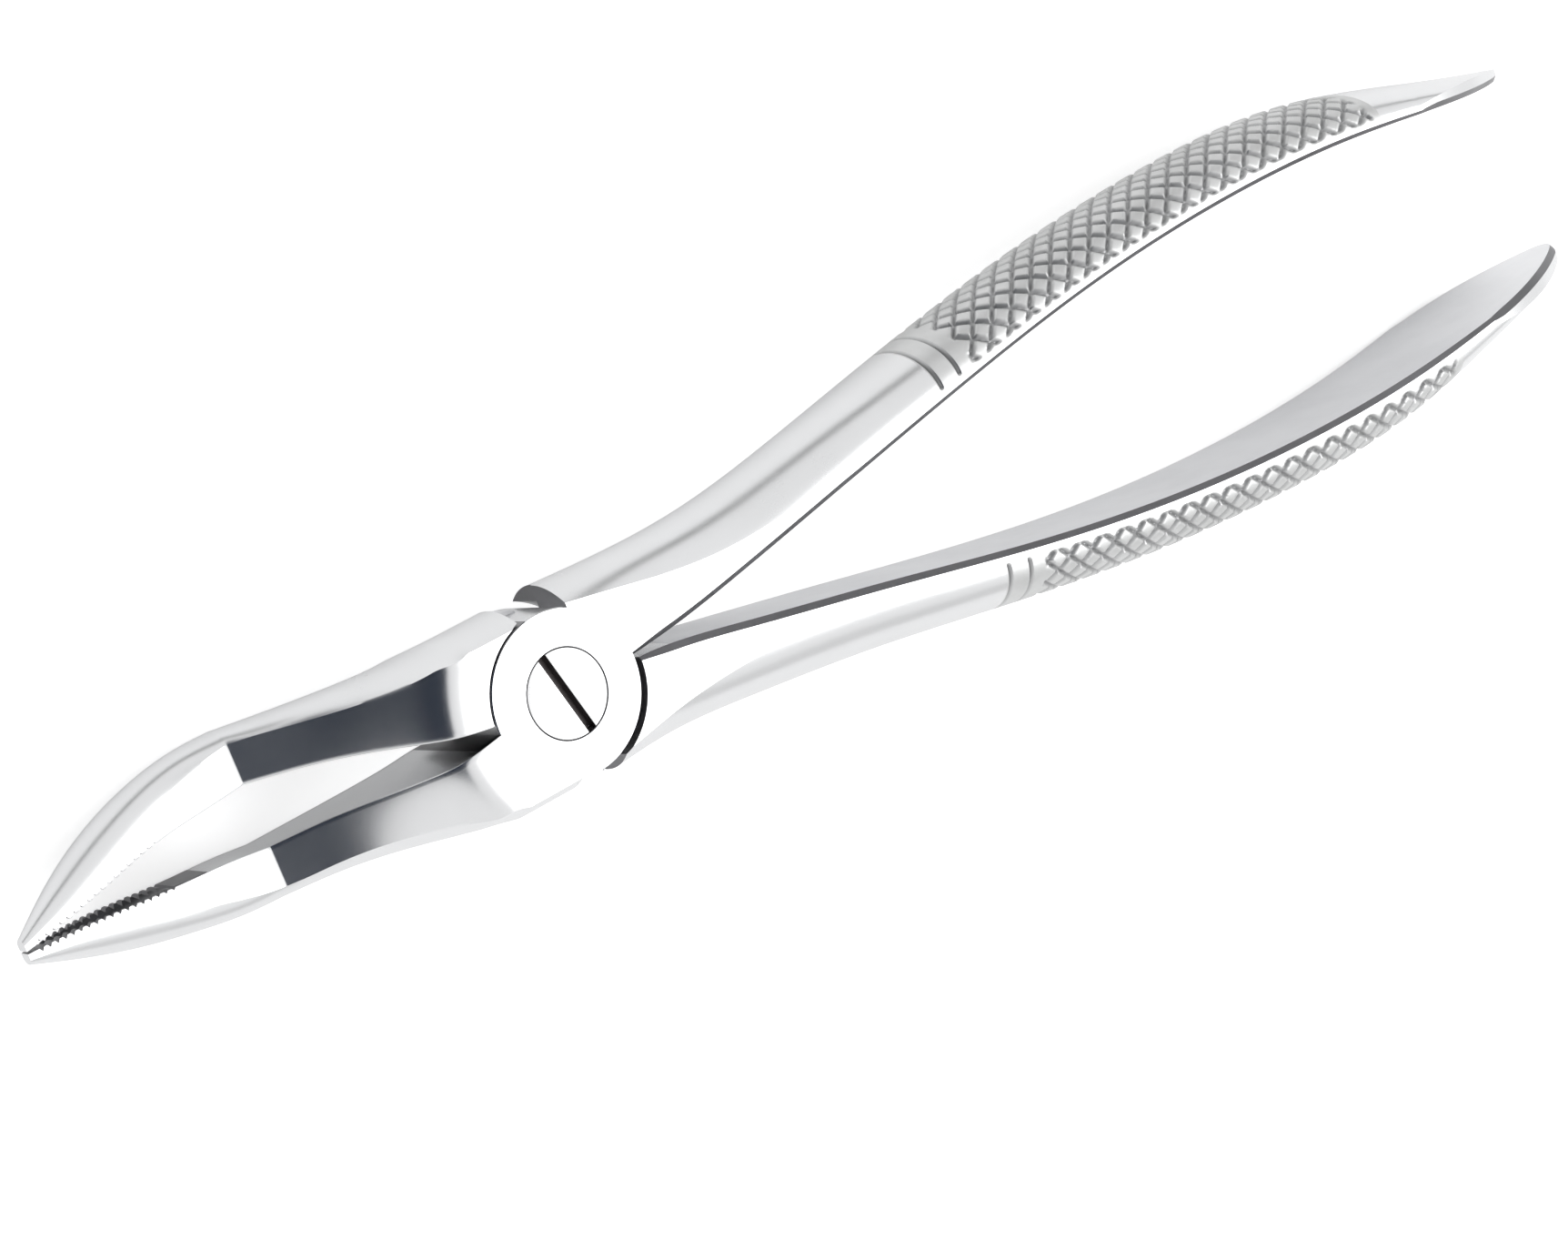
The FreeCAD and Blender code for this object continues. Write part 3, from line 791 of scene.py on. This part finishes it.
FINISHES = {
    "polished_steel": {
        "stretch": (1.0, 3.0, 3.0),
        "fineness": 1500.0,
        "clean": (0.80, 0.805, 0.815),
        "film": (0.72, 0.725, 0.73),
        "patch": 70.0,
        "amount": 0.35,
        "gloss": 0.24,
        "gloss_change": 0.08,
        "bump": 0.04,
    },
    "satin_steel": {
        "stretch": (1.0, 1.0, 0.12),
        "fineness": 2600.0,
        "clean": (0.84, 0.845, 0.86),
        "film": (0.77, 0.775, 0.79),
        "patch": 90.0,
        "amount": 0.7,
        "gloss": 0.36,
        "gloss_change": 0.10,
        "bump": 0.35,
    },
    "cross_cut_steel": {
        "stretch": (1.0, 1.0, 1.0),
        "fineness": 1800.0,
        "clean": (0.68, 0.685, 0.685),
        "film": (0.59, 0.595, 0.59),
        "patch": 160.0,
        "amount": 0.8,
        "gloss": 0.40,
        "gloss_change": 0.12,
        "bump": 0.20,
        "soil": (0.45, 0.45, 0.46),
    },
    "machined_steel": {
        "stretch": (1.0, 1.0, 8.0),
        "fineness": 1200.0,
        "clean": (0.55, 0.555, 0.57),
        "film": (0.42, 0.42, 0.43),
        "patch": 120.0,
        "amount": 0.8,
        "gloss": 0.34,
        "gloss_change": 0.10,
        "bump": 0.30,
    },
    # near-black steel: painted shade on the bevels, step faces, heel, beak's inner side and seat rim
    "painted_shade_steel": {
        "stretch": (0.2, 1.0, 1.0),
        "fineness": 1600.0,
        "clean": (0.22, 0.22, 0.23),
        "film": (0.15, 0.15, 0.155),
        "patch": 120.0,
        "amount": 0.6,
        "gloss": 0.30,
        "gloss_change": 0.10,
        "bump": 0.10,
    },
    # near-black steel for the slot's faces: painted shade
    "slot_painted_shade_steel": {
        "stretch": (1.0, 1.0, 1.0),
        "fineness": 1600.0,
        "clean": (0.16, 0.145, 0.145),
        "film": (0.10, 0.09, 0.09),
        "patch": 300.0,
        "amount": 0.8,
        "gloss": 0.42,
        "gloss_change": 0.10,
        "bump": 0.40,
    },
    "screw_steel": {
        "stretch": (2.0, 2.0, 0.5),
        "fineness": 1400.0,
        "clean": (0.81, 0.815, 0.82),
        "film": (0.72, 0.72, 0.73),
        "patch": 200.0,
        "amount": 0.6,
        "gloss": 0.16,
        "gloss_change": 0.08,
        "bump": 0.12,
    },
}


# ---------------------------------------------------------------- finishes on the halves


def shade_smooth(made, angle=28.0):
    """Smooth shading that keeps the ground edges crisp and the flats flat."""
    mesh = made.data
    mesh.polygons.foreach_set("use_smooth", [True] * len(mesh.polygons))
    mesh.set_sharp_from_angle(angle=math.radians(angle))
    weight = made.modifiers.new("flats", "WEIGHTED_NORMAL")
    weight.keep_sharp = True
    weight.weight = 60


def store_hollows(mesh, hollows):
    """Stores how deep each point lies in a cross cut or ring."""
    tree = KDTree(len(hollows))
    for i, (place, _) in enumerate(hollows):
        tree.insert(place, i)
    tree.balance()
    value = np.zeros(len(mesh.vertices), np.float32)
    for vertex in mesh.vertices:
        if RINGS[0] - 1 < vertex.co.x / MM < CUT_END + 1:
            _, i, distance = tree.find(vertex.co / MM)
            if distance < 0.05:
                value[vertex.index] = min(hollows[i][1], 1.0)
    mesh.attributes.new("cut_depth", "FLOAT", "POINT").data.foreach_set("value", value)


def finish_half(half, hollows, name, materials):
    """Gives each region of a half its finish, with painted shade (a near-black steel) on the inner
    bevels, the step faces by the joint, the heel, the beak's inner side and the seat's rim, and stores
    the depth of the cross cuts.
    """
    mesh = half.data
    mesh.materials.clear()
    for label in HALF_FINISHES:
        mesh.materials.append(materials[label])
    side = HANDLE_SIDE[name]
    inner_at, depth_at, _, band_at = handle_curves(name)
    count = len(mesh.polygons)
    centre = np.empty(count * 3)
    normal = np.empty(count * 3)
    mesh.polygons.foreach_get("center", centre)
    mesh.polygons.foreach_get("normal", normal)
    centre, normal = centre.reshape(-1, 3) / MM, normal.reshape(-1, 3)
    x, y, z = centre[:, 0], centre[:, 1] * side, centre[:, 2]
    inner, depth = inner_at(x), depth_at(x)
    index = np.full(count, POLISHED)
    facing = -normal[:, 1] * side
    index[(x > 12) & (facing > 0.9) & (y < inner + 0.5)] = SATIN
    edge_height = inner + rim_height(x, depth, band_at(x))
    on_back = (x > RINGS[0] - 0.45) & (x < CUT_END + 0.6) & (y > edge_height + 0.05)
    index[on_back] = CROSS_CUT
    distance = np.hypot(x, centre[:, 1])
    # painted shade: the bevel between inner face and rim is coloured near black for its dark reflection
    bevel = (x > 5) & (facing > 0.4) & (facing < 0.93) & (np.abs(normal[:, 2]) > 0.3)
    index[bevel & (y < inner + 1.2 * BEVEL) & (np.abs(z - MID) > 1.0)] = PAINTED_SHADE
    lap_wall = (distance < 8.4) & (np.abs(normal[:, 2]) < 0.3)
    lap_wall &= (z < MID) if name == "front_half" else (z > MID)
    index[lap_wall] = MACHINED
    lap_face = (distance < 8.6) & (np.abs(z - MID) < 0.2)
    index[lap_face] = MACHINED
    # painted shade: the step faces beside the joint are coloured near black as their shade
    index[(np.abs(normal[:, 0]) > 0.9) & (x > -2.2) & (x < 3.6)] = PAINTED_SHADE
    index[(distance < HEAD_RADIUS + 0.2) & (np.abs(normal[:, 2]) < 0.3)] = MACHINED
    # painted shade: the beak's inner side and the heel's wedge are coloured near black as their shade
    beak = (x < -BEAK_SHADE_START) & (facing < -0.35) & (np.abs(normal[:, 2]) < 0.75)
    heel = (x > -10.2) & (x < -JAW_START + 0.5) & (facing < -0.5)
    index[beak | heel] = PAINTED_SHADE
    # painted shade: the rim of the screw seat is coloured near black all round
    seat_rim = (np.abs(distance - HEAD_RADIUS) < 0.4) & (np.abs(normal[:, 2]) < 0.95)
    index[seat_rim & (z > THICK - 0.3)] = PAINTED_SHADE
    mesh.polygons.foreach_set("material_index", index)

    store_hollows(mesh, hollows)
    shade_smooth(half)


def finish_screw(screw, materials):
    """Polished head, and a slot whose faces are painted near black as painted shade."""
    mesh = screw.data
    mesh.materials.clear()
    mesh.materials.append(materials["screw_steel"])
    mesh.materials.append(materials["slot_painted_shade_steel"])
    index = []
    for polygon in mesh.polygons:
        x, y, z = polygon.center / MM
        between = THICK - SLOT_DEPTH - 0.05 < z < THICK - 0.15
        index.append(int(between and math.hypot(x, y) < HEAD_RADIUS - 0.2))
    mesh.polygons.foreach_set("material_index", index)


# ---------------------------------------------------------------- studio


def make_floor():
    """Pale floor just under the bends of the beaks and the edges of the handle ends."""
    low_beak, low_handle = (-31.0, -11.2), (112.0, -3.25)
    slope = (low_handle[1] - low_beak[1]) / (low_handle[0] - low_beak[0])
    size = 3000.0
    points = []
    for x, y in ((-size, -size), (size, -size), (size, size), (-size, size)):
        points.append((x, y, low_beak[1] + slope * (x - low_beak[0])))
    floor = make_object("floor", points, [(0, 1, 2, 3)])
    material = bpy.data.materials.new("floor_paper")
    material.use_nodes = True
    shader = material.node_tree.nodes["Principled BSDF"]
    shader.inputs["Base Color"].default_value = (0.84, 0.84, 0.84, 1)
    shader.inputs["Roughness"].default_value = 0.9
    shader.inputs["Specular IOR Level"].default_value = 0.1
    shader.inputs["Emission Color"].default_value = (1, 1, 1, 1)
    g = Graph(material.node_tree)
    path = g.add("ShaderNodeLightPath")
    g.link(g.math("MULTIPLY", path.outputs["Is Camera Ray"], 0.45), shader.inputs["Emission Strength"])
    floor.data.materials.append(material)


def add_panel(name, place, target, size, power):
    """Soft rectangular light aimed at a point; lengths in metres."""
    data = bpy.data.lights.new(name, "AREA")
    data.shape = "RECTANGLE"
    data.size, data.size_y = size
    data.energy = power
    light = bpy.data.objects.new(name, data)
    bpy.context.scene.collection.objects.link(light)
    light.location = place
    light.rotation_mode = "QUATERNION"
    direction = Vector(target) - Vector(place)
    light.rotation_quaternion = direction.to_track_quat("-Z", "Y")


def add_card(name, place, target, size, colour):
    """Matt card that the steel mirrors; the camera doesn't see it. Lengths in metres."""
    x, y = [length / 2 / MM for length in size]
    points = [(-x, -y, 0), (x, -y, 0), (x, y, 0), (-x, y, 0)]
    card = make_object(name, points, [(0, 1, 2, 3)])
    card.location = place
    card.rotation_mode = "QUATERNION"
    direction = Vector(target) - Vector(place)
    card.rotation_quaternion = direction.to_track_quat("-Z", "Y")
    card.visible_camera = False
    card.visible_shadow = False
    card.visible_diffuse = False
    material = bpy.data.materials.new(name)
    material.use_nodes = True
    shader = material.node_tree.nodes["Principled BSDF"]
    shader.inputs["Base Color"].default_value = (*colour, 1)
    shader.inputs["Roughness"].default_value = 1.0
    shader.inputs["Specular IOR Level"].default_value = 0.0
    card.data.materials.append(material)


def make_studio():
    world = bpy.data.worlds.new("studio")
    bpy.context.scene.world = world
    world.use_nodes = True
    g = Graph(world.node_tree)
    world.node_tree.nodes.clear()
    seen = g.add("ShaderNodeBackground")
    seen.inputs["Color"].default_value = (1.0, 1.0, 1.0, 1)
    seen.inputs["Strength"].default_value = 1.0
    around = g.add("ShaderNodeBackground")
    around.inputs["Color"].default_value = (1.0, 1.0, 1.0, 1)
    around.inputs["Strength"].default_value = 0.95
    path = g.add("ShaderNodeLightPath")
    mix = g.add("ShaderNodeMixShader")
    out = g.add("ShaderNodeOutputWorld")
    g.link(path.outputs["Is Camera Ray"], mix.inputs["Fac"])
    g.link(around.outputs[0], mix.inputs[1])
    g.link(seen.outputs[0], mix.inputs[2])
    g.link(mix.outputs[0], out.inputs["Surface"])

    middle = (0.03, 0.0, 0.0)
    add_panel("overhead", (0.46, -0.18, 0.72), middle, (0.8, 0.7), 3.2)
    add_card("dark_card", (-0.47, 0.20, 0.32), middle, (1.12, 1.0), (0.025, 0.032, 0.048))
    add_card("left_card", (0.34, 0.62, 0.03), (0.06, 0.0, 0.02), (1.3, 0.22), (0.28, 0.28, 0.28))
    add_card("right_card", (0.25, -0.70, 0.10), (0.06, 0.0, 0.06), (1.1, 0.26), (0.65, 0.65, 0.65))


def make_camera():
    data = bpy.data.cameras.new("camera")
    data.sensor_width = 36.0
    data.lens = 93.97
    data.clip_start, data.clip_end = 0.01, 20.0
    camera = bpy.data.objects.new("camera", data)
    bpy.context.scene.collection.objects.link(camera)
    right = Vector((0.75726, -0.35639, 0.54730))
    up = Vector((0.41837, 0.90819, 0.01254))
    back = Vector((-0.50152, 0.21948, 0.83684))
    turn = Matrix((right, up, back)).transposed()
    camera.matrix_world = Matrix.Translation((-0.16537, 0.07904, 0.32547)) @ turn.to_4x4()
    bpy.context.scene.camera = camera


# ---------------------------------------------------------------- assembly

groups = {"marks": grain_group(), "film": wear_group()}
materials = {name: steel(name, groups, finish) for name, finish in FINISHES.items()}

BODY_OF = {"front_half": "front", "back_half": "back"}
for name, body in BODY_OF.items():
    half, hollows = half_mesh(name)
    finish_half(half, hollows, name, materials)
    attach(half, body)
    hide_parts(name)

screw = screw_mesh()
finish_screw(screw, materials)
shade_smooth(screw)
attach(screw, "back")
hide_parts("joint_screw")

make_floor()
make_studio()
make_camera()

view_settings = bpy.context.scene.view_settings
view_settings.view_transform = "Standard"
view_settings.exposure = 0.0
